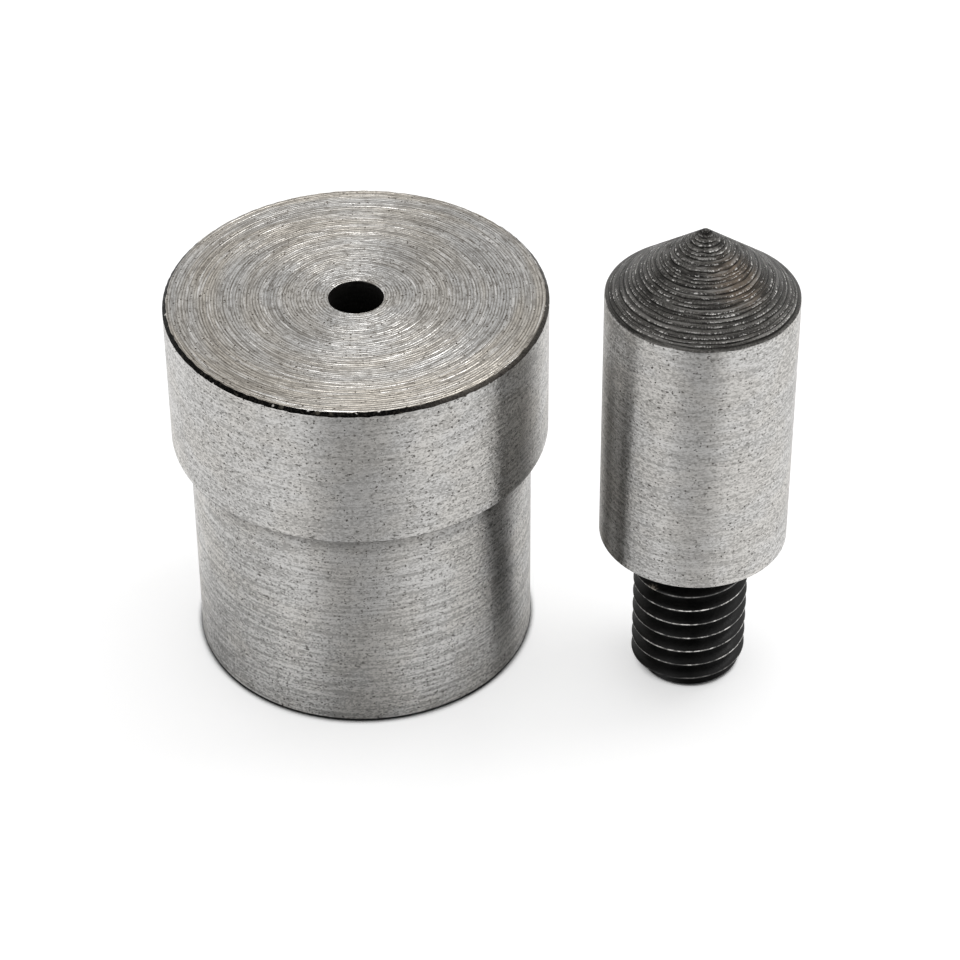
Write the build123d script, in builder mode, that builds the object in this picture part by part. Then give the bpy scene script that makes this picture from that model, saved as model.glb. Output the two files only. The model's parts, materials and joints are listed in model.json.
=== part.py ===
from build123d import *

import os
from math import cos, pi, radians, sin, tan

os.makedirs("parts", exist_ok=True)

# Hole punch die: a collared die and the pointed punch that stands beside it on its threaded stud.
# All sizes are millimetres, +Z is up, and the origin is on the die's axis where the die stands.

# Die body: a collar over a slightly narrower spigot, turned in one piece
spigot_diameter = 23.8
spigot_length = 17.1
shoulder_width = 1.2
collar_height = 10.9
collar_top_chamfer = 0.25
spigot_base_chamfer = 0.2
shoulder_corner_radius = 0.2

# Die hole: a straight cutting land under the top face, then a wider way out for the slugs
hole_diameter = 3.8
hole_edge_break = 0.08
land_length = 6.0
slug_relief = 1.1
slug_hole_edge_break = 0.2

# Punch body: a plain cylinder with a conical nose that ends in a small round tip
punch_diameter = 13.0
punch_length = 19.9
punch_back_chamfer = 0.12
nose_angle = 101.0
nose_tip_radius = 0.4

# Where the punch stands: the clear gap to the collar, and the direction from the die, in degrees from +X
punch_gap = 4.0
punch_bearing = -12.3

# Metric thread, M8 with a pitch of 1.25
# The free thread is drawn as a cylinder at its outside diameter.
# Inside the punch body, where screw and hole share the flanks, both are drawn at the pitch diameter.
# The two ratios are the thread form's own, in pitches.
thread_diameter = 8.0
thread_pitch = 1.25
thread_depth_ratio = 0.6134
pitch_line_ratio = 0.6495
thread_clearance = 0.03

# Threaded stud: a headless screw, part in the punch body and part standing out of it
stud_length = 20.0
stud_stand_out = 11.65
point_diameter = 5.5
socket_across_flats = 4.0
socket_depth = 5.0
socket_mouth_margin = 0.15
socket_mouth_angle = 120.0

# Blind hole in the back of the punch body that takes the stud
spare_thread = 2 * thread_pitch
spare_drill_depth = 2.0
mouth_margin = 0.3
mouth_angle = 90.0

# Point of a common drill
drill_point_angle = 118.0

# Sizes that follow from the ones above
thread_depth = thread_depth_ratio * thread_pitch
pitch_diameter = thread_diameter - pitch_line_ratio * thread_pitch
collar_diameter = spigot_diameter + 2 * shoulder_width
die_height = spigot_length + collar_height
punch_distance = collar_diameter / 2 + punch_gap + punch_diameter / 2
punch_x = punch_distance * cos(radians(punch_bearing))
punch_y = punch_distance * sin(radians(punch_bearing))
slug_hole_diameter = hole_diameter + 2 * slug_relief
tap_drill_diameter = thread_diameter - thread_pitch
stud_hole_diameter = pitch_diameter + 2 * thread_clearance
stud_mouth_diameter = thread_diameter + 2 * mouth_margin
stud_engagement = stud_length - stud_stand_out
stud_hole_depth = stud_engagement + spare_thread
tap_drill_depth = stud_hole_depth + spare_drill_depth
socket_corner_radius = socket_across_flats / 2 / cos(pi / 6)


def taper_height(large_diameter, small_diameter, full_angle):
    """Height over which a cone of this full angle narrows from one diameter to the other."""
    return (large_diameter - small_diameter) / 2 / tan(radians(full_angle / 2))


def drill(diameter, depth):
    """Drilled blind hole with its conical point, cut inwards from the current place."""
    Hole(diameter / 2, depth)
    with Locations((0, 0, -depth)):
        Cone(
            diameter / 2,
            0,
            taper_height(diameter, 0, drill_point_angle),
            rotation=(180, 0, 0),
            align=(Align.CENTER, Align.CENTER, Align.MIN),
            mode=Mode.SUBTRACT,
        )


# Die: one turned solid with its hole
with BuildPart() as die:
    with BuildSketch(Plane.XZ):
        with BuildLine():
            Polyline(
                (0, 0),
                (spigot_diameter / 2, 0),
                (spigot_diameter / 2, spigot_length),
                (collar_diameter / 2, spigot_length),
                (collar_diameter / 2, die_height),
                (0, die_height),
                close=True,
            )
        make_face()
    revolve(axis=Axis.Z)
    rims = die.edges().filter_by(GeomType.CIRCLE).group_by(Axis.Z)
    base_rim = rims[0]
    shoulder_corner = rims[1].sort_by(SortBy.RADIUS)[0]
    top_rim = rims[-1]
    chamfer(top_rim, collar_top_chamfer)
    chamfer(base_rim, spigot_base_chamfer)
    fillet(shoulder_corner, shoulder_corner_radius)
    relief_taper = taper_height(slug_hole_diameter, hole_diameter, drill_point_angle)
    with Locations(Plane.XY.rotated((180, 0, 0))):
        drill(slug_hole_diameter, die_height - land_length - relief_taper)
    with Locations((0, 0, die_height)):
        Hole(hole_diameter / 2)
    land_mouth = die.faces().sort_by(Axis.Z)[-1].edges().sort_by(SortBy.RADIUS)[0]
    slug_mouth = die.faces().sort_by(Axis.Z)[0].edges().sort_by(SortBy.RADIUS)[0]
    chamfer(land_mouth, hole_edge_break)
    chamfer(slug_mouth, slug_hole_edge_break)
die.part.label = "die"
export_step(die.part, "parts/die.step")


# Places on the punch: its section, its axis, its back face and the stud's foot
punch_section = Plane(origin=(punch_x, punch_y, stud_stand_out), x_dir=(1, 0, 0), z_dir=(0, -1, 0))
punch_axis = Axis((punch_x, punch_y, 0), (0, 0, 1))
punch_back = Plane(origin=(punch_x, punch_y, stud_stand_out), x_dir=(1, 0, 0), z_dir=(0, 0, -1))
stud_foot = Plane(origin=(punch_x, punch_y, 0), x_dir=(1, 0, 0), z_dir=(0, 0, -1))

# The round tip's circle touches the cone here, and meets the axis at the top of the nose
sharp_height = punch_length + taper_height(punch_diameter, 0, nose_angle)
half_angle = radians(nose_angle / 2)
tip_centre_height = sharp_height - nose_tip_radius / sin(half_angle)
tip_start = (nose_tip_radius * cos(half_angle), tip_centre_height + nose_tip_radius * sin(half_angle))
tip_top = (0, tip_centre_height + nose_tip_radius)

# Punch body: one turned solid, drilled and tapped from the back
with BuildPart() as punch_body:
    with BuildSketch(punch_section):
        with BuildLine():
            outline = Polyline(
                (0, 0),
                (punch_diameter / 2, 0),
                (punch_diameter / 2, punch_length),
                tip_start,
            )
            TangentArc(tip_start, tip_top, tangent=outline % 1)
            Line(tip_top, (0, 0))
        make_face()
    revolve(axis=punch_axis)
    back_rim = punch_body.edges().filter_by(GeomType.CIRCLE).sort_by(Axis.Z)[0]
    chamfer(back_rim, punch_back_chamfer)
    with Locations(punch_back):
        CounterSinkHole(
            stud_hole_diameter / 2,
            stud_mouth_diameter / 2,
            stud_hole_depth,
            counter_sink_angle=mouth_angle,
        )
        drill(tap_drill_diameter, tap_drill_depth)
punch_body.part.label = "punch_body"
export_step(punch_body.part, "parts/punch_body.step")


# Threaded stud: a headless screw with a flat point inside and a hexagon socket in its foot
with BuildPart() as threaded_stud:
    with BuildSketch(stud_foot):
        Circle(thread_diameter / 2)
    extrude(amount=-stud_stand_out)
    with BuildSketch(punch_back):
        Circle(pitch_diameter / 2)
    extrude(amount=-stud_engagement)
    stud_rims = threaded_stud.edges().filter_by(GeomType.CIRCLE).sort_by(Axis.Z)
    chamfer(stud_rims[0], thread_depth)
    chamfer(stud_rims[-1], (pitch_diameter - point_diameter) / 2)
    with Locations(stud_foot):
        CounterSinkHole(
            socket_across_flats / 2,
            socket_corner_radius + socket_mouth_margin,
            socket_depth,
            counter_sink_angle=socket_mouth_angle,
        )
        drill(socket_across_flats, socket_depth)
    with BuildSketch(stud_foot):
        RegularPolygon(socket_across_flats / 2, 6, major_radius=False)
    extrude(amount=-socket_depth, mode=Mode.SUBTRACT)
threaded_stud.part.label = "threaded_stud"
export_step(threaded_stud.part, "parts/threaded_stud.step")
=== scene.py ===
"""Looks of the hole punch die: a turned steel die, and its ridged punch on a blackened threaded stud."""

import json
import math

import bmesh
import bpy
import numpy as np
from mathutils import Matrix, Vector


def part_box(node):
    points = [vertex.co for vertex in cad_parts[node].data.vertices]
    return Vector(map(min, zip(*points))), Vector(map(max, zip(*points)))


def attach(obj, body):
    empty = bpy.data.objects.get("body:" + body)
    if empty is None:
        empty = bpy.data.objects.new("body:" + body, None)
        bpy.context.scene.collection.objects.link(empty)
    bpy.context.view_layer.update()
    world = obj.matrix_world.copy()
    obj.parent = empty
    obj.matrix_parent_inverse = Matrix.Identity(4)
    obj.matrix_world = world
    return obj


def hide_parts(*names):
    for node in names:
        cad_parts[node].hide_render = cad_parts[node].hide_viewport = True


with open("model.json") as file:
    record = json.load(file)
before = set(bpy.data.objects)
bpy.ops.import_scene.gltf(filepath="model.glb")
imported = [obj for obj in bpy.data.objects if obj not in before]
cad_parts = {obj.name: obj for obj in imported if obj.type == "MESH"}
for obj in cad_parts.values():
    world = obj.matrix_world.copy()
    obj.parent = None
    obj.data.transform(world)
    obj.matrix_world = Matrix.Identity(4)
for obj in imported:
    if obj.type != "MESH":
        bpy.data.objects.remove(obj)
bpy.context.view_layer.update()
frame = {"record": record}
mounts = {mount["name"]: mount for mount in frame["record"]["mounts"]}

# Lengths are metres, written through mm. Places inside the materials are millimetres from a piece's axis.
mm = 0.001

# Camera, fitted to the photograph's outlines
camera_place = (8.3157 * mm, -185.673 * mm, 160.806 * mm)
camera_pitch = math.radians(38.7052)
camera_roll = math.radians(0.3597)
camera_lens = 126.386
camera_sensor = 36.0
camera_near = 0.01

# Die, from the frame, with the small edges that the frame's record doesn't give
die_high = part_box("die")[1]
die_axis = Vector()
collar_radius = die_high.x
die_height = die_high.z
spigot_radius = mounts["die_spigot"]["dims"]["r_mm"] * mm
shoulder_height = mounts["die_shoulder"]["pos_m"][2]
land_radius = mounts["die_hole"]["dims"]["r_mm"] * mm
slug_radius = mounts["slug_hole"]["dims"]["r_mm"] * mm
land_length = 6.0 * mm
collar_chamfer = 0.25 * mm
collar_lower_round = 0.25 * mm
shoulder_corner = 0.2 * mm
base_chamfer = 0.2 * mm
slug_mouth = 0.2 * mm
land_mouth = 0.08 * mm
rim_roll = 0.05 * mm
rim_drop = 0.016 * mm
drill_point = math.radians(118.0)

# Punch body
punch_low, punch_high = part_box("punch_body")
punch_axis = Vector(((punch_low.x + punch_high.x) / 2, (punch_low.y + punch_high.y) / 2, 0.0))
punch_radius = (punch_high.x - punch_low.x) / 2
punch_back = punch_low.z
punch_length = 19.9 * mm
punch_back_edge = 0.12 * mm
nose_slope = math.radians(101.0) / 2
nose_tip_radius = 0.4 * mm
nose_edge_roll = 0.05 * mm
tapped_radius = 3.624 * mm
tapped_mouth = 4.3 * mm
tapped_depth = 10.85 * mm
tap_drill_radius = 3.375 * mm
tap_drill_spare = 2.0 * mm

# Threaded stud
stud_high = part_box("threaded_stud")[1]
thread_radius = mounts["stud_thread"]["dims"]["r_mm"] * mm
thread_pitch = 1.25 * mm
point_radius = 2.75 * mm
socket_flats = 4.0 * mm
socket_depth = 5.0 * mm
socket_margin = 0.15 * mm
socket_mouth_slope = math.radians(60.0)

# Metric thread, in pitches: depth of the groove and of its straight flanks, and how much smaller the pitch
# diameter is than the outside one
groove_ratio = 0.6134
flank_ratio = 0.5412
pitch_diameter_ratio = 0.6495
thread_depth = groove_ratio * thread_pitch
pitch_radius = thread_radius - pitch_diameter_ratio * thread_pitch / 2
spare_turns = 2

# Section of the thread from its crest to the middle of its groove, where it is mirrored: share of the pitch,
# and depth as a share of the thread's depth
thread_section = ((0.0, 0.0), (0.022, 0.0), (0.045, 0.012), (0.075, 0.055), (0.16, 0.27), (0.26, 0.555),
                  (0.375, flank_ratio / groove_ratio), (0.42, 0.955), (0.46, 0.99), (0.5, 1.0))

# Wear of the thread's crest: depth as a share of the thread's depth, and wear
crest_wear = ((0.0, 1.0), (0.012, 0.6), (0.055, 0.0))

# Where the thread's crest crosses the photograph's front line of the stud
crest_height = 8.707 * mm
crest_bearing = math.radians(-94.4)

# Rings of the die's top: their spacing, height and highest count of waves in the mesh, and the pitch of the
# tool's feed in the material, in millimetres
facing_ring = 0.09 * mm
facing_height = 0.0022 * mm
facing_waves = 12
feed_pitch = 0.2

# Ragged outline of the black scale on the collar's chamfer, and the lowest and highest count of its waves
scale_ragged = 0.018 * mm
scale_waves = (8, 110)

# Turning ridges of the nose: their mean pitch and height, and the least and greatest share that a ridge has
ridge_pitch = 0.33 * mm
ridge_height = 0.036 * mm
ridge_pitch_spread = (0.5, 1.5)
ridge_height_spread = (0.35, 1.5)

# How a ridge changes along its turn: its height's share and limits, its sway across in pitches, its fine
# roughness in heights, and the highest counts of the waves
ridge_change = 0.5
ridge_change_limits = (0.1, 2.2)
ridge_sway = 0.06
ridge_roughness = 0.12
ridge_waves = 16
ridge_fine_waves = 120

# Section of a ridge from its crest outwards: share of the pitch, depth as a share of the height, and wear,
# which below 0 paints shade into the cut under the crest
ridge_section = ((0.0, 0.0, 1.0), (0.10, 0.35, 0.2), (0.22, 1.0, -1.0), (0.40, 0.8, -0.3), (0.62, 0.45, 0.0),
                 (0.80, 0.16, 0.1), (0.92, 0.02, 0.5))
tip_wear = 0.4

# Depth of the marks that are too fine for the meshes
side_relief = 0.03 * mm
face_relief = 0.045 * mm
scale_relief = 0.02 * mm
bore_relief = 0.01 * mm
nose_relief = 0.03 * mm
oxide_relief = 0.012 * mm

# Single marks of the photograph, in millimetres from the piece's axis: centre and reach
nose_patch = ((2.2, -2.3, 34.3), 2.6)
thread_nick = ((-2.78, -2.88, 8.32), 0.65)

# Patches of painted shade on the die's top, where its reflection is dimmer, in millimetres: centre, reach and
# share
face_shade_patches = (((-5.6, 8.4, 28.0), 6.5, 0.34), ((-0.5, -10.8, 28.0), 4.5, 0.22))

# Colours of the turned sides
side_cool = (0.78, 0.77, 0.755, 1)
side_warm = (0.77, 0.75, 0.72, 1)
side_line = (0.17, 0.165, 0.155, 1)
side_fleck = (0.10, 0.095, 0.085, 1)
# Painted shade under the die's collar
side_painted_shade = (0.06, 0.055, 0.05, 1)
side_pit = (0.06, 0.052, 0.045, 1)

# Colours of the faced top
face_cool = (0.67, 0.665, 0.65, 1)
face_straw = (0.69, 0.645, 0.575, 1)
face_bright = (0.97, 0.95, 0.92, 1)
face_groove = (0.20, 0.18, 0.155, 1)
face_line = (0.15, 0.135, 0.115, 1)
face_grain = (0.17, 0.15, 0.13, 1)
face_dash = (0.11, 0.09, 0.07, 1)
face_patch_shade = (0.26, 0.235, 0.20, 1)
face_pit = (0.08, 0.065, 0.05, 1)

# Colours of the scale on the chamfer
scale_black = (0.004, 0.004, 0.004, 1)
scale_grey = (0.030, 0.027, 0.024, 1)
scale_thin = (0.16, 0.145, 0.12, 1)
scale_dust = (0.075, 0.068, 0.060, 1)
scale_chip = (0.60, 0.58, 0.55, 1)

# Colours of the bores
bore_dark = (0.10, 0.095, 0.09, 1)
bore_light = (0.24, 0.23, 0.22, 1)

# Colours of the nose
nose_dark = (0.050, 0.048, 0.045, 1)
nose_grey = (0.125, 0.120, 0.112, 1)
nose_brown = (0.155, 0.120, 0.090, 1)
nose_ring = (0.33, 0.32, 0.305, 1)
nose_line = (0.02, 0.019, 0.018, 1)
nose_cut_shade = (0.008, 0.008, 0.007, 1)
nose_chip = (0.92, 0.90, 0.87, 1)

# Colours of the blackened stud
oxide_black = (0.002, 0.002, 0.002, 1)
oxide_dusty = (0.007, 0.0065, 0.006, 1)
oxide_nick = (0.42, 0.37, 0.30, 1)
oxide_bare = (0.88, 0.86, 0.83, 1)

# Floor: its half width, its own colour where a shadow is painted on it and where it is open, and the strength
# of its white glow
floor_reach = 1.5
floor_painted_shadow = (0.08, 0.08, 0.08, 1)
floor_open = (0.60, 0.60, 0.60, 1)
white = (1.0, 1.0, 1.0, 1)
glow = 0.60

# Reach of the shadow at a piece's foot on the floor, and of the wider one that metal mirrors
foot_shadow = 0.9 * mm
wide_shadow = 20.0 * mm
shadow_samples = 8

# Openness of the floor at which the foot's shadow ends, and at which the glow and the paint are full: at the
# die, up to the first distance in millimetres from its axis, and at the stud, from the second one
shadow_end = (0.50, 0.20)
glow_end = (0.76, 0.60)
paint_end = (0.64, 0.47)
die_floor = 13.5
stud_floor = 16.0

# Openness of the floor under the wide shadow at which the mirrored glow starts and is full
mirrored_start, mirrored_full = 0.45, 0.95

# Share of its openness that the floor between the pieces keeps in the reflection of a reflection, as painted
# shade on its grey, and where the floor lies outside them: behind the die's axis, and right of the punch
between_share = 0.16
behind_start, behind_end = -6.0 * mm, -16.0 * mm
right_start, right_end = 27.0 * mm, 33.0 * mm

# Painted shade on the floor's glow out of frame, on the photographer's side, which metal mirrors: where it
# starts and is full ahead of the die's axis, its middle, and how far aside it ends and is full, as a share of
# the distance ahead
front_start, front_end = 38.0 * mm, 70.0 * mm
front_middle = 8.0 * mm
front_aside = (0.65, 0.25)

# Dim parts painted on the floor's glow, as painted shade that the sides mirror, in millimetres: centre,
# reach, share, and the share in the reflection of a reflection
floor_shades = (
    ((-19.0, -7.0, 0.0), 15.0, 0.80, 0.80),
    ((-4.0, -23.0, 0.0), 14.0, 0.65, 0.65),
    ((29.0, 16.0, 0.0), 19.0, 0.60, 0.20),
    ((-36.0, 2.0, 0.0), 16.0, 0.25, 0.25),
    ((11.0, 21.0, 0.0), 10.0, 0.50, 0.50),
)

# Soft boxes: name, place, target, width, depth, and how bright they look
soft_boxes = (
    ("back_box", (0.33, 0.15, 0.62), (0.01, 0.0, 0.0), 0.26, 0.26, 4.4),
    ("overhead", (0.0, 0.06, 0.65), (0.01, 0.0, 0.0), 0.30, 0.36, 2.9),
)

# Room: its brightness at the horizon and from this rise of the view on, and the share of it that is left
# straight overhead, between these rises
room_low, room_high = 1.12, 0.62
room_rise = 0.5
zenith_start, zenith_end = 0.85, 0.99
zenith_share = 0.5

# Dark part of the room: the cosines of the angles from its middle at which it starts and is full, and the
# share of the brightness that it keeps
dark_start, dark_end = 0.83, 0.97
dark_share = 0.02

# Middle of the dark part, a little left of the camera, in a room squashed to this share of its height
dark_bearing = math.radians(-2.0)
dark_elevation = math.radians(15.0)
dark_squash = 0.35
dark_direction = (
    math.sin(dark_bearing) * math.cos(dark_elevation),
    -math.cos(dark_bearing) * math.cos(dark_elevation),
    math.sin(dark_elevation),
)

# How finely the pieces are divided round their axes
die_divisions = 360
punch_divisions = 420
stud_divisions = 240

# Points of the arcs in the outlines
corner_points = 5
round_points = 6
tip_points = 6

# Faces that meet at a larger angle than this have a sharp edge between them
sharp_edge = math.radians(34)

# Points closer than this are one
weld = 0.0004 * mm

# A ring this far from a rounded edge keeps the edge's shading out of the straight side
edge_guard = 0.08 * mm

dice = np.random.default_rng(7)


# Meshes

def angles(divisions):
    """Angles round an axis, with the first one again at the end."""
    return np.linspace(0.0, 2 * math.pi, divisions + 1)


def waves(rows, around, lowest, highest):
    """Random smooth waves round the axis, one row for each ring, with unit spread and no seam."""
    total = np.zeros((rows, len(around)))
    counts = range(lowest, highest + 1)
    for count in counts:
        shift = dice.uniform(0, 2 * math.pi, (rows, 1))
        size = dice.normal(0, 1, (rows, 1))
        total += size * np.cos(count * around[None, :] + shift)
    return total / math.sqrt(len(counts) / 2)


def placed(radius, height, around, axis):
    """Points at these radii and heights round an axis."""
    x = axis[0] + radius * np.cos(around)
    y = axis[1] + radius * np.sin(around)
    return np.stack([x, y, height + 0 * around], axis=-1)


def turned(profile, around, axis):
    """Rings of points for an outline of (radius, height) pairs turned round an upright axis."""
    radius = np.array([point[0] for point in profile])[:, None] + 0 * around[None, :]
    height = np.array([point[1] for point in profile])[:, None] + 0 * around[None, :]
    return placed(radius, height, around, axis)


def arc(centre, radius, start, end, count):
    """Points of an arc in the outline's plane, angles in degrees."""
    turn = np.radians(np.linspace(start, end, count))
    return [(centre[0] + radius * math.cos(a), centre[1] + radius * math.sin(a)) for a in turn]


def skin(name, rings, finishes, materials, wear_and_shade=None):
    """Piece skinned over rings of points; finishes says which material each gap between rings gets."""
    count, around = rings.shape[:2]
    grid = np.arange(count * around).reshape(count, around)
    corners = [grid[:-1, :-1], grid[:-1, 1:], grid[1:, 1:], grid[1:, :-1]]
    quads = np.stack(corners, axis=-1).reshape(-1, 4)
    mesh = bpy.data.meshes.new(name)
    mesh.from_pydata(rings.reshape(-1, 3).tolist(), [], quads.tolist())
    mesh.polygons.foreach_set("material_index", np.repeat(finishes, around - 1))
    if wear_and_shade is not None:
        mesh.attributes.new("wear_and_shade", "FLOAT", "POINT").data.foreach_set("value", wear_and_shade.ravel())
    edit = bmesh.new()
    edit.from_mesh(mesh)
    bmesh.ops.remove_doubles(edit, verts=edit.verts, dist=weld)
    bmesh.ops.recalc_face_normals(edit, faces=edit.faces)
    edit.to_mesh(mesh)
    edit.free()
    mesh.polygons.foreach_set("use_smooth", [True] * len(mesh.polygons))
    mesh.set_sharp_from_angle(angle=sharp_edge)
    for material in materials:
        mesh.materials.append(material)
    piece = bpy.data.objects.new(name, mesh)
    bpy.context.scene.collection.objects.link(piece)
    return piece


# Materials

class Graph:
    """The nodes of a material or of the world. Each call adds a node and returns its output."""

    def __init__(self, owner, shader="Principled BSDF"):
        self.owner = owner
        owner.use_nodes = True
        self.nodes = owner.node_tree.nodes
        self.links = owner.node_tree.links
        self.shader = self.nodes[shader]

    def set(self, node, inputs):
        """Link or set each input of a node."""
        for key, value in inputs.items():
            if isinstance(value, bpy.types.NodeSocket):
                self.links.new(value, node.inputs[key])
            else:
                node.inputs[key].default_value = value

    def add(self, kind, inputs, output=0, **settings):
        """Any node, by its kind, inputs, output and settings."""
        node = self.nodes.new(kind)
        for key, value in settings.items():
            setattr(node, key, value)
        self.set(node, inputs)
        return node.outputs[output]

    def math(self, operation, *values):
        """Arithmetic on numbers."""
        return self.add("ShaderNodeMath", dict(enumerate(values)), operation=operation)

    def vector(self, operation, *values, output=0):
        """Arithmetic on vectors."""
        inputs = dict(enumerate(values))
        return self.add("ShaderNodeVectorMath", inputs, output, operation=operation)

    def product(self, total, *factors):
        """All of these numbers multiplied."""
        for factor in factors:
            total = self.math("MULTIPLY", total, factor)
        return total

    def weighted(self, parts):
        """Sum of numbers, each times its weight."""
        total = None
        for value, weight in parts:
            term = self.math("MULTIPLY", value, weight)
            total = term if total is None else self.math("ADD", total, term)
        return total

    def ramp(self, value, start, end, low=0.0, high=1.0):
        """Smooth step from low to high while a number goes from start to end."""
        inputs = {"Value": value, "From Min": start, "From Max": end, "To Min": low, "To Max": high}
        return self.add("ShaderNodeMapRange", inputs, interpolation_type="SMOOTHSTEP")

    def blend(self, factor, first, second):
        """Mix of two colours."""
        inputs = {"Factor": factor, 6: first, 7: second}
        return self.add("ShaderNodeMix", inputs, 2, data_type="RGBA")

    def marked(self, base, colour, value, start, end, share=1.0):
        """A colour that turns to another, up to this share, while a number goes from start to end."""
        return self.blend(self.ramp(value, start, end, 0.0, share), base, colour)

    def noise(self, place, scale, detail=2.0, roughness=0.5, output="Fac"):
        """Noise at a place."""
        inputs = {"Vector": place, "Scale": scale, "Detail": detail, "Roughness": roughness}
        return self.add("ShaderNodeTexNoise", inputs, output)

    def from_axis(self, axis):
        """Place in millimetres from a piece's upright axis."""
        place = self.add("ShaderNodeTexCoord", {}, "Object")
        moved = self.vector("SUBTRACT", place, (axis.x, axis.y, 0.0))
        return self.vector("MULTIPLY", moved, (1 / mm, 1 / mm, 1 / mm))

    def part(self, place, letter):
        """One coordinate of a place."""
        return self.add("ShaderNodeSeparateXYZ", {0: place}, letter)

    def across(self, place):
        """Unit direction from the axis to a place."""
        return self.vector("NORMALIZE", self.vector("MULTIPLY", place, (1.0, 1.0, 0.0)))

    def distance(self, place):
        """Distance of a place from the axis."""
        return self.vector("LENGTH", self.vector("MULTIPLY", place, (1.0, 1.0, 0.0)), output="Value")

    def stretched(self, across, turn_scale, along, along_scale):
        """Coordinates for marks that run round the axis: turn_scale sets how often they break."""
        round_part = self.vector("SCALE", across)
        self.set(round_part.node, {"Scale": turn_scale})
        level = self.math("MULTIPLY", along, along_scale)
        lift = self.add("ShaderNodeCombineXYZ", {"Z": level})
        return self.vector("ADD", round_part, lift)

    def streaks(self, across, turn_scale, along, along_scale, detail=2.0, roughness=0.5):
        """Noise drawn out round the axis."""
        return self.noise(self.stretched(across, turn_scale, along, along_scale), 1.0, detail, roughness)

    def ruffled(self, place, scale, reach):
        """The same place moved about a little, so that round marks come out ragged."""
        shift = self.noise(place, scale, 1.0, output="Color")
        centred = self.vector("SUBTRACT", shift, (0.5, 0.5, 0.5))
        scaled = self.vector("MULTIPLY", centred, (2 * reach, 2 * reach, 2 * reach))
        return self.vector("ADD", place, scaled)

    def pits(self, place, scale, share, size):
        """Small round marks at random places: 1 inside a mark and 0 outside."""
        voronoi = self.add("ShaderNodeTexVoronoi", {"Vector": place, "Scale": scale}, "Distance")
        chance = self.add("ShaderNodeSeparateColor", {0: voronoi.node.outputs["Color"]}, 0)
        limit = self.ramp(chance, 1.0 - share, 1.0, 0.0, size)
        inner = self.math("MULTIPLY", limit, 0.5)
        real = self.math("GREATER_THAN", limit, 0.001)
        return self.math("MULTIPLY", self.ramp(voronoi, limit, inner), real)

    def spot(self, place, centre, reach):
        """1 round a place in millimetres, fading from 0.3 of this reach to 0 at all of it."""
        away = self.vector("DISTANCE", place, centre, output="Value")
        return self.ramp(away, reach, 0.3 * reach)

    def bump(self, height, distance):
        """Normals of a relief of this depth."""
        return self.add("ShaderNodeBump", {"Height": height, "Distance": distance, "Strength": 1.0})

    def openness(self, reach):
        """1 where nothing stands within this reach, and less where something does."""
        return self.add("ShaderNodeAmbientOcclusion", {"Distance": reach}, "AO", samples=shadow_samples)

    def circling(self):
        """Direction round the upright axis, which the tool marks follow."""
        return self.add("ShaderNodeTangent", {}, direction_type="RADIAL", axis="Z")


def shoulder_painted_shade(graph, height, shoulder, dash):
    """Painted shade in the corner under the die's collar, and a painted dark line along the collar's lower
    edge.

    height and shoulder are in millimetres.
    """
    under = graph.math("LESS_THAN", height, shoulder)
    over = graph.math("SUBTRACT", 1.0, under)
    corner = graph.product(graph.ramp(height, shoulder - 2.4, shoulder - 0.7, 0.0, 0.5), under)
    edge = graph.product(graph.ramp(height, shoulder + 0.20, shoulder + 0.12, 0.0, 0.85), over)
    return graph.product(graph.math("MAXIMUM", corner, edge), graph.ramp(dash, 0.35, 0.55, 1.0, 0.7))


def turned_steel(name, axis, radius, shoulder=None):
    """Bright turned steel of an upright side: fine lines round it, dashes and many small pits.

    shoulder is the height of the die's shoulder in millimetres. The lines are stronger under it, and shade is
    painted under it and along the collar's lower edge.
    """
    graph = Graph(bpy.data.materials.new(name))
    place = graph.from_axis(axis)
    across = graph.across(place)
    height = graph.part(place, "Z")
    girth = radius / mm
    line = graph.streaks(across, girth * 0.22, height, 5.0)
    dash = graph.streaks(across, girth * 1.8, height, 6.0)
    grain = graph.streaks(across, girth * 1.9, height, 3.2, 3.0, 1.0)
    fleck = graph.streaks(across, girth * 3.0, height, 6.5, 1.0)
    fine = graph.streaks(across, girth * 5.0, height, 8.0, 1.0)
    cloud = graph.streaks(across, girth * 0.25, height, 0.35)
    pit = graph.pits(graph.ruffled(graph.stretched(across, girth, height, 1.6), 5.0, 0.16), 2.0, 0.6, 0.24)
    speck = graph.pits(graph.ruffled(place, 9.0, 0.06), 4.6, 0.6, 0.36)
    line_weight, fleck_share = 0.46, 0.50
    if shoulder:
        line_weight = graph.ramp(height, shoulder + 0.1, shoulder - 0.1, 0.46, 0.72)
        fleck_share = 0.75
    swing = graph.math("SUBTRACT", line, 0.5)
    light = graph.weighted([(grain, 0.50), (dash, 0.22), (swing, line_weight), (fine, 0.66)])
    base = graph.blend(graph.ramp(cloud, 0.40, 0.62), side_cool, side_warm)
    base = graph.marked(base, side_line, light, 0.84, 0.54, 0.62)
    base = graph.marked(base, side_fleck, fleck, 0.38, 0.29, fleck_share)
    if shoulder:
        # Painted shade in the corner under the collar, and a painted dark line along its lower edge
        base = graph.blend(shoulder_painted_shade(graph, height, shoulder, dash), base, side_painted_shade)
    base = graph.blend(graph.math("MAXIMUM", pit, speck), base, side_pit)
    marks = [(line, 0.6), (dash, 0.4), (grain, 0.4), (fine, 0.45), (pit, -0.6), (speck, -0.4)]
    graph.set(graph.shader, {
        "Base Color": base,
        "Metallic": 1.0,
        "Roughness": graph.ramp(light, 0.54, 0.84, 0.32, 0.40),
        "Anisotropic": 1.0,
        "Anisotropic Rotation": 0.25,
        "Tangent": graph.circling(),
        "Normal": graph.bump(graph.weighted(marks), side_relief),
    })
    return graph.owner


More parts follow.
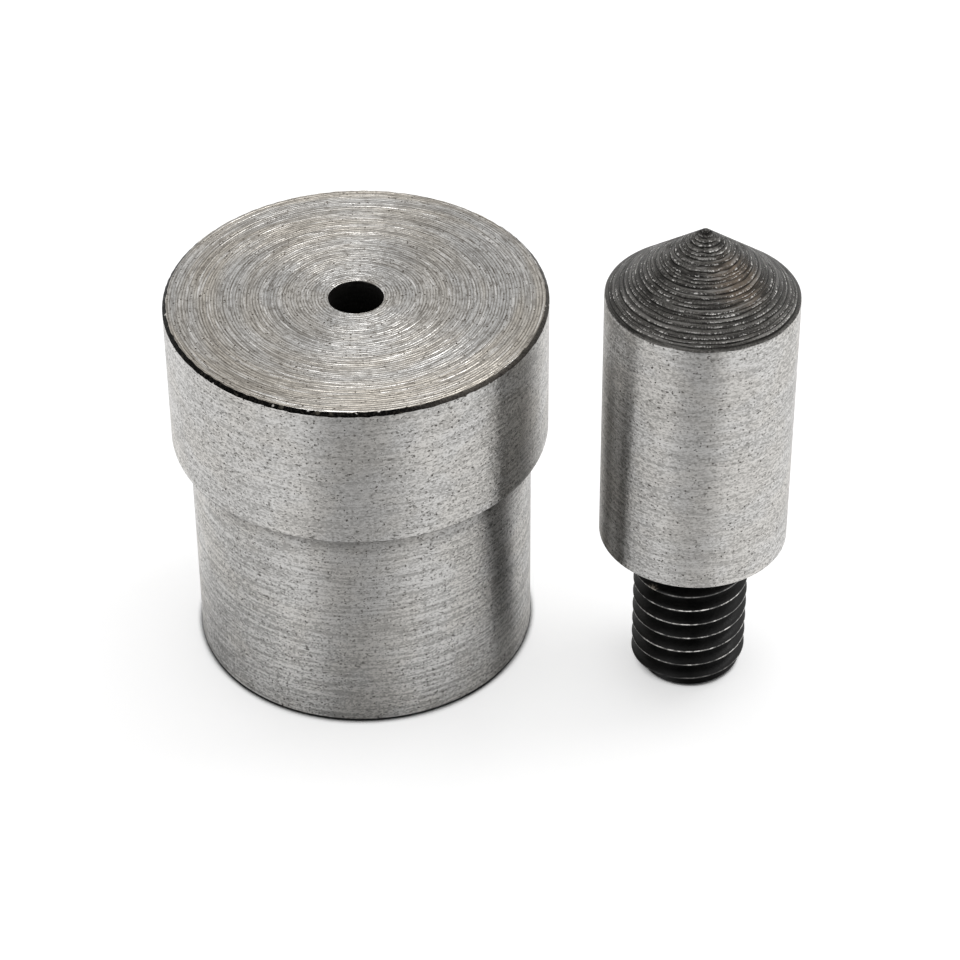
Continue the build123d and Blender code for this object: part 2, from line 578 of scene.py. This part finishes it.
def faced_steel(name, axis):
    """Bright faced steel of a flat top: the tool's rings, straw tints, small pits and patches of painted
    shade.
    """
    graph = Graph(bpy.data.materials.new(name))
    place = graph.from_axis(axis)
    across = graph.across(place)
    distance = graph.distance(place)
    drift = graph.streaks(across, 0.9, distance, 0.9)
    turns = graph.weighted([(distance, 1 / feed_pitch), (drift, 1.6)])
    feed = graph.math("SINE", graph.math("MULTIPLY", turns, 2 * math.pi))
    fine = graph.streaks(across, 1.0, distance, 5.5)
    short = graph.streaks(across, 10.0, distance, 7.5)
    middle = graph.streaks(across, 4.5, distance, 3.6)
    broad = graph.streaks(across, 2.6, distance, 1.3)
    hair = graph.streaks(across, 2.6, distance, 8.0, 1.0)
    gap = graph.streaks(across, 6.0, distance, 4.0)
    dash = graph.streaks(across, 12.0, distance, 7.0)
    ring = graph.streaks(across, 0.8, distance, 0.45)
    grain = graph.noise(place, 2.0, 3.0, 1.0)
    pit = graph.pits(graph.ruffled(place, 4.0, 0.12), 1.9, 0.5, 0.22)
    speck = graph.pits(graph.ruffled(place, 9.0, 0.06), 4.4, 0.6, 0.36)
    straw = graph.product(graph.ramp(ring, 0.38, 0.60), graph.ramp(distance, 4.0, 11.0, 0.5, 1.0))
    base = graph.blend(straw, face_cool, face_straw)
    groove = graph.product(graph.ramp(feed, 0.2, -1.0), graph.ramp(gap, 0.35, 0.60, 0.85, 0.45))
    base = graph.blend(groove, base, face_groove)
    bright = graph.product(graph.ramp(hair, 0.57, 0.66), graph.ramp(gap, 0.36, 0.52, 0.25, 0.85))
    base = graph.blend(bright, base, face_bright)
    base = graph.marked(base, face_line, fine, 0.45, 0.34, 0.5)
    base = graph.marked(base, face_grain, short, 0.50, 0.34, 0.5)
    base = graph.marked(base, face_grain, grain, 0.52, 0.40, 0.35)
    base = graph.marked(base, face_dash, dash, 0.36, 0.29, 0.8)
    # Patches of painted shade where the top's reflection is dimmer
    for centre, reach, share in face_shade_patches:
        patchy = graph.ramp(broad, 0.35, 0.60, 0.4 * share, share)
        base = graph.blend(graph.product(graph.spot(place, centre, reach), patchy), base, face_patch_shade)
    base = graph.blend(graph.math("MAXIMUM", pit, speck), base, face_pit)
    marks = [(feed, 0.22), (fine, 0.8), (short, 0.6), (hair, 0.6), (middle, 0.9), (broad, 1.0), (grain, 0.5),
             (pit, -0.5)]
    graph.set(graph.shader, {
        "Base Color": base,
        "Metallic": 1.0,
        "Roughness": graph.ramp(hair, 0.3, 0.7, 0.36, 0.26),
        "Anisotropic": 0.7,
        "Anisotropic Rotation": 0.25,
        "Tangent": graph.circling(),
        "Normal": graph.bump(graph.weighted(marks), face_relief),
    })
    return graph.owner


def dark_edge(name, axis):
    """Scale left black on the collar's chamfer and on the foot's chamfer, where it also paints a dark contact
    shadow: chipped to bright specks, and dusty towards +X.
    """
    graph = Graph(bpy.data.materials.new(name))
    place = graph.from_axis(axis)
    grain = graph.noise(place, 7.0, 3.0)
    patch = graph.noise(place, 1.3, 3.0)
    chip = graph.pits(graph.ruffled(place, 8.0, 0.08), 2.2, 0.6, 0.34)
    right = graph.part(graph.across(place), "X")
    dust = graph.product(graph.ramp(right, 0.20, 0.60), graph.ramp(grain, 0.35, 0.60, 0.45, 1.0))
    base = graph.blend(graph.ramp(grain, 0.45, 0.75), scale_black, scale_grey)
    base = graph.marked(base, scale_thin, patch, 0.60, 0.70, 0.5)
    base = graph.blend(dust, base, scale_dust)
    graph.set(graph.shader, {
        "Base Color": graph.blend(chip, base, scale_chip),
        "Metallic": 1.0,
        "Roughness": 0.45,
        "Normal": graph.bump(grain, scale_relief),
    })
    return graph.owner


def bore_steel(name, axis):
    """Drilled bore in dark steel."""
    graph = Graph(bpy.data.materials.new(name))
    place = graph.from_axis(axis)
    ring = graph.streaks(graph.across(place), 1.5, graph.part(place, "Z"), 5.0)
    graph.set(graph.shader, {
        "Base Color": graph.blend(ring, bore_dark, bore_light),
        "Metallic": 1.0,
        "Roughness": 0.4,
        "Normal": graph.bump(ring, bore_relief),
    })
    return graph.owner


def nose_steel(name, axis):
    """Dark grey steel of the ridged nose: bright chips along its crests, and black shade painted in the cuts
    under them.
    """
    graph = Graph(bpy.data.materials.new(name))
    place = graph.from_axis(axis)
    across = graph.across(place)
    distance = graph.distance(place)
    height = graph.part(place, "Z")
    wear_and_shade = graph.add("ShaderNodeAttribute", {}, "Fac", attribute_name="wear_and_shade")
    grain = graph.noise(place, 7.0, 3.0, 0.8)
    ring = graph.streaks(across, 1.2, height, 8.0)
    break_up = graph.streaks(across, 3.0, height, 2.0)
    patch = graph.streaks(across, 5.0, height, 1.5)
    brown = graph.product(graph.spot(place, *nose_patch), graph.ramp(patch, 0.35, 0.65, 0.45, 0.85))
    base = graph.blend(graph.ramp(grain, 0.35, 0.65), nose_dark, nose_grey)
    base = graph.blend(brown, base, nose_brown)
    base = graph.marked(base, nose_ring, ring, 0.53, 0.63, 0.35)
    base = graph.marked(base, nose_line, ring, 0.45, 0.34, 0.7)
    # Painted shade, black, in the cut under each crest
    cut_shade = graph.product(graph.ramp(wear_and_shade, 0.0, -1.0, 0.0, 0.95), graph.ramp(break_up, 0.36, 0.52, 0.45, 1.0))
    base = graph.blend(cut_shade, base, nose_cut_shade)
    tip = graph.product(graph.ramp(distance, 0.62, 0.40), 0.6)
    base = graph.blend(tip, base, nose_line)
    crest = graph.product(graph.math("MAXIMUM", wear_and_shade, 0.0), graph.math("SUBTRACT", 1.0, tip))
    rubbed = graph.ramp(patch, 0.40, 0.60, 0.64, 0.51)
    chip = graph.ramp(graph.math("SUBTRACT", grain, rubbed), -0.04, 0.05)
    graph.set(graph.shader, {
        "Base Color": graph.blend(graph.product(crest, chip), base, nose_chip),
        "Metallic": 1.0,
        "Roughness": graph.ramp(grain, 0.3, 0.7, 0.38, 0.52),
        "Anisotropic": 0.6,
        "Anisotropic Rotation": 0.25,
        "Tangent": graph.circling(),
        "Normal": graph.bump(graph.weighted([(grain, 1.2), (ring, 1.0)]), nose_relief),
    })
    return graph.owner


def black_oxide(name, axis):
    """Blackened thread, with bare steel along its rubbed crests, less of it near the foot, and dimmed near
    the punch by painted shade.
    """
    graph = Graph(bpy.data.materials.new(name))
    place = graph.from_axis(axis)
    height = graph.part(place, "Z")
    wear_and_shade = graph.add("ShaderNodeAttribute", {}, "Fac", attribute_name="wear_and_shade")
    grain = graph.noise(place, 6.0, 3.0)
    patch = graph.noise(place, 0.9, 2.0)
    bead = graph.ramp(graph.noise(place, 3.2, 2.0), 0.40, 0.60, 0.40, 1.0)
    chip = graph.weighted([(grain, 1.1), (patch, 0.9)])
    rubbed = graph.math("ADD", wear_and_shade, graph.math("SUBTRACT", chip, 1.0))
    # Less bare steel near the foot, and painted shade under the punch that dims it near the top
    rises = graph.ramp(height, 0.9, 2.1, 0.15, 1.0)
    under_punch_shade = graph.ramp(height, 8.0, 8.8, 1.0, 0.35)
    level = graph.math("MINIMUM", rises, under_punch_shade)
    bare = graph.product(graph.ramp(rubbed, 0.55, 1.10), graph.ramp(patch, 0.35, 0.6, 0.5, 1.0), bead, level)
    nick = graph.product(graph.spot(place, *thread_nick), graph.ramp(grain, 0.42, 0.54))
    base = graph.blend(graph.ramp(patch, 0.4, 0.7), oxide_black, oxide_dusty)
    base = graph.blend(nick, base, oxide_nick)
    graph.set(graph.shader, {
        "Base Color": graph.blend(bare, base, oxide_bare),
        "Metallic": graph.ramp(bare, 0.0, 1.0, 0.0, 1.0),
        "Roughness": graph.ramp(grain, 0.3, 0.7, 0.30, 0.42),
        "Specular IOR Level": 0.4,
        "Normal": graph.bump(grain, oxide_relief),
    })
    return graph.owner


# Die

def faced_top(around, inner, outer):
    """Rings of the die's top, each a little higher or lower along its turn, and level at both rims."""
    radii = np.linspace(inner, outer, round((outer - inner) / facing_ring) + 1)
    rings = placed(radii[:, None], die_height + 0 * radii[:, None], around[None, :], die_axis)
    fade = np.clip(np.minimum(radii - inner, outer - radii) / (2 * facing_ring), 0, 1)
    grooves = waves(len(radii), around, 0, facing_waves)
    rings[:, :, 2] -= facing_height * (1 + np.clip(grooves, -1, 1)) * fade[:, None]
    return rings


def make_die():
    """The die: faced top, dark chamfer, turned collar and spigot, and the stepped hole."""
    around = angles(die_divisions)
    inner = land_radius + land_mouth
    face = faced_top(around, inner, collar_radius - collar_chamfer - rim_roll)
    relief = slug_radius - land_radius
    relief_low = die_height - land_length - relief / math.tan(drill_point / 2)
    corner_centre = (spigot_radius + shoulder_corner, shoulder_height - shoulder_corner)
    corner = arc(corner_centre, shoulder_corner, 90, 180, corner_points)
    round_centre = (collar_radius - collar_lower_round, shoulder_height + collar_lower_round)
    lower_edge = arc(round_centre, collar_lower_round, 0, -90, round_points)
    outline = [
        (collar_radius - collar_chamfer, die_height - rim_drop),
        (collar_radius, die_height - collar_chamfer),
        (collar_radius, round_centre[1] + edge_guard),
        *lower_edge,
        *corner,
        (spigot_radius, corner[-1][1] - edge_guard),
        (spigot_radius, base_chamfer),
        (spigot_radius - base_chamfer, 0.0),
        (slug_radius + slug_mouth, 0.0),
        (slug_radius, slug_mouth),
        (slug_radius, relief_low),
        (land_radius, die_height - land_length),
        (land_radius, die_height - land_mouth),
        (inner, die_height),
    ]
    rest = turned(outline, around, die_axis)
    ragged = waves(2, around, *scale_waves) * scale_ragged
    rest[0, :, 0] += ragged[0] * np.cos(around)
    rest[0, :, 1] += ragged[0] * np.sin(around)
    rest[1, :, 2] += ragged[1]
    materials = [
        faced_steel("die_facing", die_axis),
        dark_edge("die_chamfer", die_axis),
        turned_steel("die_turning", die_axis, collar_radius, shoulder_height / mm),
        faced_steel("die_underside", die_axis),
        bore_steel("die_bore", die_axis),
    ]
    facing, scale, turning, underside, bore = range(len(materials))
    finishes = [facing] * len(face) + [scale] + [turning] * (len(lower_edge) + 1)
    # The foot's chamfer takes the black scale, which also paints the dark contact line at the die's foot
    finishes += [underside] + [turning] * (len(corner) + 1) + [scale, underside] + [bore] * 4 + [facing]
    die = skin("turned_die", np.concatenate([face, rest]), finishes, materials)
    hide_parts("die")
    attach(die, "root")


# Punch body

def ridged_nose(around, sharp_top, tip_edge):
    """Rings of the nose's cone from the tip outwards, with their ridges, and the wear and painted shade at
    each point.
    """
    slope_length = (punch_radius - tip_edge) / math.sin(nose_slope)
    ridges = round(slope_length / ridge_pitch)
    pitches = np.cumsum(dice.uniform(*ridge_pitch_spread, ridges))
    edges = np.concatenate([[0.0], pitches / pitches[-1]])
    share, hollow, wear_and_cut_shade = np.array(ridge_section).T
    along = (edges[:-1, None] + share[None, :] * np.diff(edges)[:, None]).ravel()
    along = np.append(along, 1.0)
    heights = np.repeat(dice.uniform(*ridge_height_spread, ridges), len(share))
    uneven = np.repeat(waves(ridges, around, 0, ridge_waves), len(share), axis=0)
    depth = np.tile(hollow, ridges) * heights
    depth = depth[:, None] * np.clip(1 + ridge_change * uneven, *ridge_change_limits)
    rough = np.abs(waves(len(along), around, 0, ridge_fine_waves))
    depth = np.concatenate([depth, 0 * depth[:1]]) + ridge_roughness * rough
    depth[[0, -1]] = 0.0
    sway = np.concatenate([uneven, uneven[:1]]) * ridge_sway * ridge_pitch / slope_length
    sway[[0, -1]] = 0.0
    along = np.clip(along[:, None] + sway, 0.0, 1.0)
    cone = tip_edge + along * (punch_radius - tip_edge)
    radius = cone - ridge_height * depth * math.cos(nose_slope)
    height = sharp_top - cone / math.tan(nose_slope) - ridge_height * depth * math.sin(nose_slope)
    radius[-1] -= nose_edge_roll
    height[-1] += nose_edge_roll / math.tan(nose_slope)
    crest = np.append(np.tile(wear_and_cut_shade, ridges), 0.0)[:, None] + 0 * cone
    return placed(radius, height, around[None, :], punch_axis), crest


def make_punch():
    """The punch body: a ridged nose, a turned side and the tapped hole in its back."""
    around = angles(punch_divisions)
    shoulder = punch_back + punch_length
    sharp_top = shoulder + punch_radius / math.tan(nose_slope)
    tip_centre = (0.0, sharp_top - nose_tip_radius / math.sin(nose_slope))
    tip_end = 90 - math.degrees(math.pi / 2 - nose_slope)
    nose, crest = ridged_nose(around, sharp_top, nose_tip_radius * math.cos(nose_slope))
    tip = turned(arc(tip_centre, nose_tip_radius, 90, tip_end, tip_points)[:-1], around, punch_axis)
    deep = punch_back + tapped_depth
    blind = deep + tap_drill_spare
    outline = [
        (punch_radius, shoulder - nose_edge_roll),
        (punch_radius, shoulder - nose_edge_roll - edge_guard),
        (punch_radius, punch_back + punch_back_edge),
        (punch_radius - punch_back_edge, punch_back),
        (tapped_mouth, punch_back),
        (tapped_radius, punch_back + tapped_mouth - tapped_radius),
        (tapped_radius, deep),
        (tap_drill_radius, deep),
        (tap_drill_radius, blind),
        (0.0, blind + tap_drill_radius / math.tan(drill_point / 2)),
    ]
    rest = turned(outline, around, punch_axis)
    rings = np.concatenate([tip, nose, rest])
    wear_and_shade = np.concatenate([0 * tip[:, :, 0] + tip_wear, crest, 0 * rest[:, :, 0]])
    materials = [
        nose_steel("punch_nose", punch_axis),
        turned_steel("punch_turning", punch_axis, punch_radius),
        bore_steel("punch_bore", punch_axis),
    ]
    ridged, turning, bore = range(len(materials))
    finishes = [ridged] * (len(tip) + len(nose) - 1) + [turning] * 4 + [bore] * 6
    punch = skin("ridged_punch", rings, finishes, materials, wear_and_shade)
    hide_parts("punch_body")
    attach(punch, "root")


# Threaded stud

def screw_thread(around):
    """Rings of the right-hand thread from the foot to the flat point, and the wear at each point."""
    section = list(thread_section)
    section += [(1 - share, depth) for share, depth in section[-2:0:-1]]
    turns = math.ceil(stud_high.z / thread_pitch) + spare_turns
    share = np.array([k + point[0] for k in range(turns) for point in section])
    depth = np.array([point[1] for k in range(turns) for point in section]) * thread_depth
    start = crest_height - thread_pitch * crest_bearing / (2 * math.pi)
    start -= thread_pitch * math.ceil(start / thread_pitch + 1)
    height = start + share[:, None] * thread_pitch + thread_pitch * around[None, :] / (2 * math.pi)
    radius = thread_radius - depth[:, None] + 0 * height
    foot = thread_radius - thread_depth + height
    mouth = thread_radius - (height - punch_back)
    point = point_radius + stud_high.z - height
    height = np.clip(height, 0.0, stud_high.z)
    limit = np.where(height > punch_back, np.maximum(mouth, pitch_radius), thread_radius)
    limit = np.minimum(limit, np.maximum(foot, thread_radius - thread_depth))
    limit = np.minimum(limit, np.maximum(point, point_radius))
    rub = np.interp(depth[:, None] / thread_depth, *zip(*crest_wear))
    crest = rub * (radius <= limit) * (height < punch_back)
    return placed(np.minimum(radius, limit), height, around[None, :], punch_axis), crest


def hexagon_socket(around):
    """Rings of the socket in the stud's foot, from the drill's point out to the mouth's edge."""
    hexagon = socket_flats / 2 / np.cos((around + math.pi / 6) % (math.pi / 3) - math.pi / 6)
    mouth_radius = socket_flats / 2 / math.cos(math.pi / 6) + socket_margin
    mouth_depth = (mouth_radius - hexagon) / math.tan(socket_mouth_slope)
    drilled = socket_depth + socket_flats / 2 / math.tan(drill_point / 2)
    flat = 0 * around
    outline = [
        (flat, flat + drilled),
        (flat + socket_flats / 2, flat + socket_depth),
        (hexagon, flat + socket_depth),
        (hexagon, mouth_depth),
        (flat + mouth_radius, flat),
    ]
    return np.stack([placed(radius, height, around, punch_axis) for radius, height in outline])


def make_stud():
    """The threaded stud: a metric thread with a chamfered foot and a hexagon socket in it."""
    around = angles(stud_divisions)
    socket = hexagon_socket(around)
    thread, crest = screw_thread(around)
    cap = turned([(point_radius, stud_high.z), (0.0, stud_high.z)], around, punch_axis)
    rings = np.concatenate([socket, thread, cap])
    wear_and_shade = np.concatenate([0 * socket[:, :, 0], crest, 0 * cap[:, :, 0]])
    stud = skin("stud_thread", rings, [0] * (len(rings) - 1), [black_oxide("stud_black", punch_axis)], wear_and_shade)
    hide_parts("threaded_stud")
    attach(stud, "root")


# Studio

def dimness(graph, flat, ahead, x, first):
    """Painted shade on the floor as metal sees it: on the photographer's side, and the painted dim parts."""
    aside = graph.math("ABSOLUTE", graph.math("DIVIDE", graph.math("SUBTRACT", x, front_middle), ahead))
    shade = graph.product(graph.ramp(ahead, front_start, front_end), graph.ramp(aside, *front_aside))
    for centre, reach, share, later_share in floor_shades:
        strength = graph.ramp(first, 0.0, 1.0, later_share, share)
        shade = graph.math("MAXIMUM", shade, graph.product(graph.spot(flat, centre, reach), strength))
    return shade


def floor_white(name):
    """White floor: its own grey, painted dark as a shadow where a piece stands on it, and the white glow that
    is seen of it.

    Camera rays see the glow with a painted shadow at a piece's foot. Metal sees it with a wider painted
    shadow and painted dim parts, and not between the pieces in the reflection of a reflection, where its grey
    is painted darker too.
    """
    graph = Graph(bpy.data.materials.new(name))
    direct = graph.add("ShaderNodeLightPath", {}, "Is Camera Ray")
    rays = direct.node.outputs
    mirrored = graph.math("MAXIMUM", rays["Is Glossy Ray"], rays["Is Transmission Ray"])
    first = graph.math("LESS_THAN", rays["Glossy Depth"], 1.5)
    place = graph.add("ShaderNodeTexCoord", {}, "Object")
    flat = graph.vector("MULTIPLY", place, (1 / mm, 1 / mm, 1 / mm))
    x = graph.part(place, "X")
    ahead = graph.math("MULTIPLY", graph.part(place, "Y"), -1.0)
    behind = graph.ramp(ahead, behind_start, behind_end)
    outside = graph.math("MAXIMUM", behind, graph.ramp(x, right_start, right_end))
    once = graph.math("MAXIMUM", first, outside)

    beyond = graph.ramp(graph.vector("LENGTH", flat, output="Value"), die_floor, stud_floor)
    dark, glowing, painted = [graph.ramp(beyond, 0.0, 1.0, *end) for end in (shadow_end, glow_end, paint_end)]
    foot_open = graph.openness(foot_shadow)
    wide_open = graph.openness(wide_shadow)

    # Painted shade on the glow that metal sees: a wide shadow round the pieces, the dim parts, and none
    # between the pieces in the reflection of a reflection
    unshaded = graph.math("SUBTRACT", 1.0, dimness(graph, flat, ahead, x, first))
    lit = graph.product(graph.ramp(wide_open, mirrored_start, mirrored_full, 0.0, glow), unshaded)
    seen_glow = graph.product(direct, graph.ramp(foot_open, dark, glowing, 0.0, glow))
    mirrored_glow = graph.product(mirrored, once, lit)
    # Painted shadow in the floor's grey: at a piece's foot, and between the pieces in the reflection of a
    # reflection
    kept = graph.ramp(once, 0.0, 1.0, between_share, 1.0)
    open_share = graph.product(graph.ramp(foot_open, dark, painted), kept)
    graph.set(graph.shader, {
        "Base Color": graph.blend(open_share, floor_painted_shadow, floor_open),
        "Roughness": 0.9,
        "Specular IOR Level": 0.0,
        "Emission Color": white,
        "Emission Strength": graph.math("ADD", seen_glow, mirrored_glow),
    })
    return graph.owner


def make_floor():
    """A wide plain white floor that takes the shadows."""
    low, high = -floor_reach, floor_reach
    mesh = bpy.data.meshes.new("floor")
    mesh.from_pydata([(low, low, 0), (high, low, 0), (high, high, 0), (low, high, 0)], [], [(0, 1, 2, 3)])
    mesh.materials.append(floor_white("floor_white"))
    floor = bpy.data.objects.new("floor", mesh)
    bpy.context.scene.collection.objects.link(floor)


def make_lamp(name, place, target, width, depth, radiance):
    """A soft box that faces its target. Its power follows from its size and how bright it looks."""
    data = bpy.data.lights.new(name, "AREA")
    data.shape = "RECTANGLE"
    data.size = width
    data.size_y = depth
    data.energy = radiance * math.pi * width * depth
    lamp = bpy.data.objects.new(name, data)
    bpy.context.scene.collection.objects.link(lamp)
    lamp.location = place
    lamp.rotation_euler = (Vector(target) - Vector(place)).to_track_quat("-Z", "Y").to_euler()


def make_world():
    """A pale room, dark behind and above the camera."""
    graph = Graph(bpy.data.worlds.new("studio"), "Background")
    view = graph.add("ShaderNodeTexCoord", {}, "Generated")
    squashed = graph.vector("NORMALIZE", graph.vector("MULTIPLY", view, (1.0, 1.0, dark_squash)))
    towards = graph.vector("DOT_PRODUCT", squashed, dark_direction, output="Value")
    rise = graph.part(view, "Z")
    pale = graph.ramp(rise, 0.0, room_rise, room_low, room_high)
    zenith = graph.ramp(rise, zenith_start, zenith_end, 1.0, zenith_share)
    shade = graph.ramp(towards, dark_start, dark_end, 1.0, dark_share)
    graph.set(graph.shader, {"Color": white, "Strength": graph.product(pale, zenith, shade)})
    bpy.context.scene.world = graph.owner


def make_camera():
    """The photograph's view of the pieces."""
    data = bpy.data.cameras.new("camera")
    data.lens = camera_lens
    data.sensor_width = camera_sensor
    data.clip_start = camera_near
    camera = bpy.data.objects.new("camera", data)
    bpy.context.scene.collection.objects.link(camera)
    tilt = Matrix.Rotation(math.pi / 2 - camera_pitch, 4, "X")
    roll = Matrix.Rotation(-camera_roll, 4, "Z")
    camera.matrix_world = Matrix.Translation(camera_place) @ tilt @ roll
    bpy.context.scene.camera = camera


make_die()
make_punch()
make_stud()
make_floor()
for soft_box in soft_boxes:
    make_lamp(*soft_box)
make_world()
make_camera()
bpy.context.scene.view_settings.view_transform = "Standard"
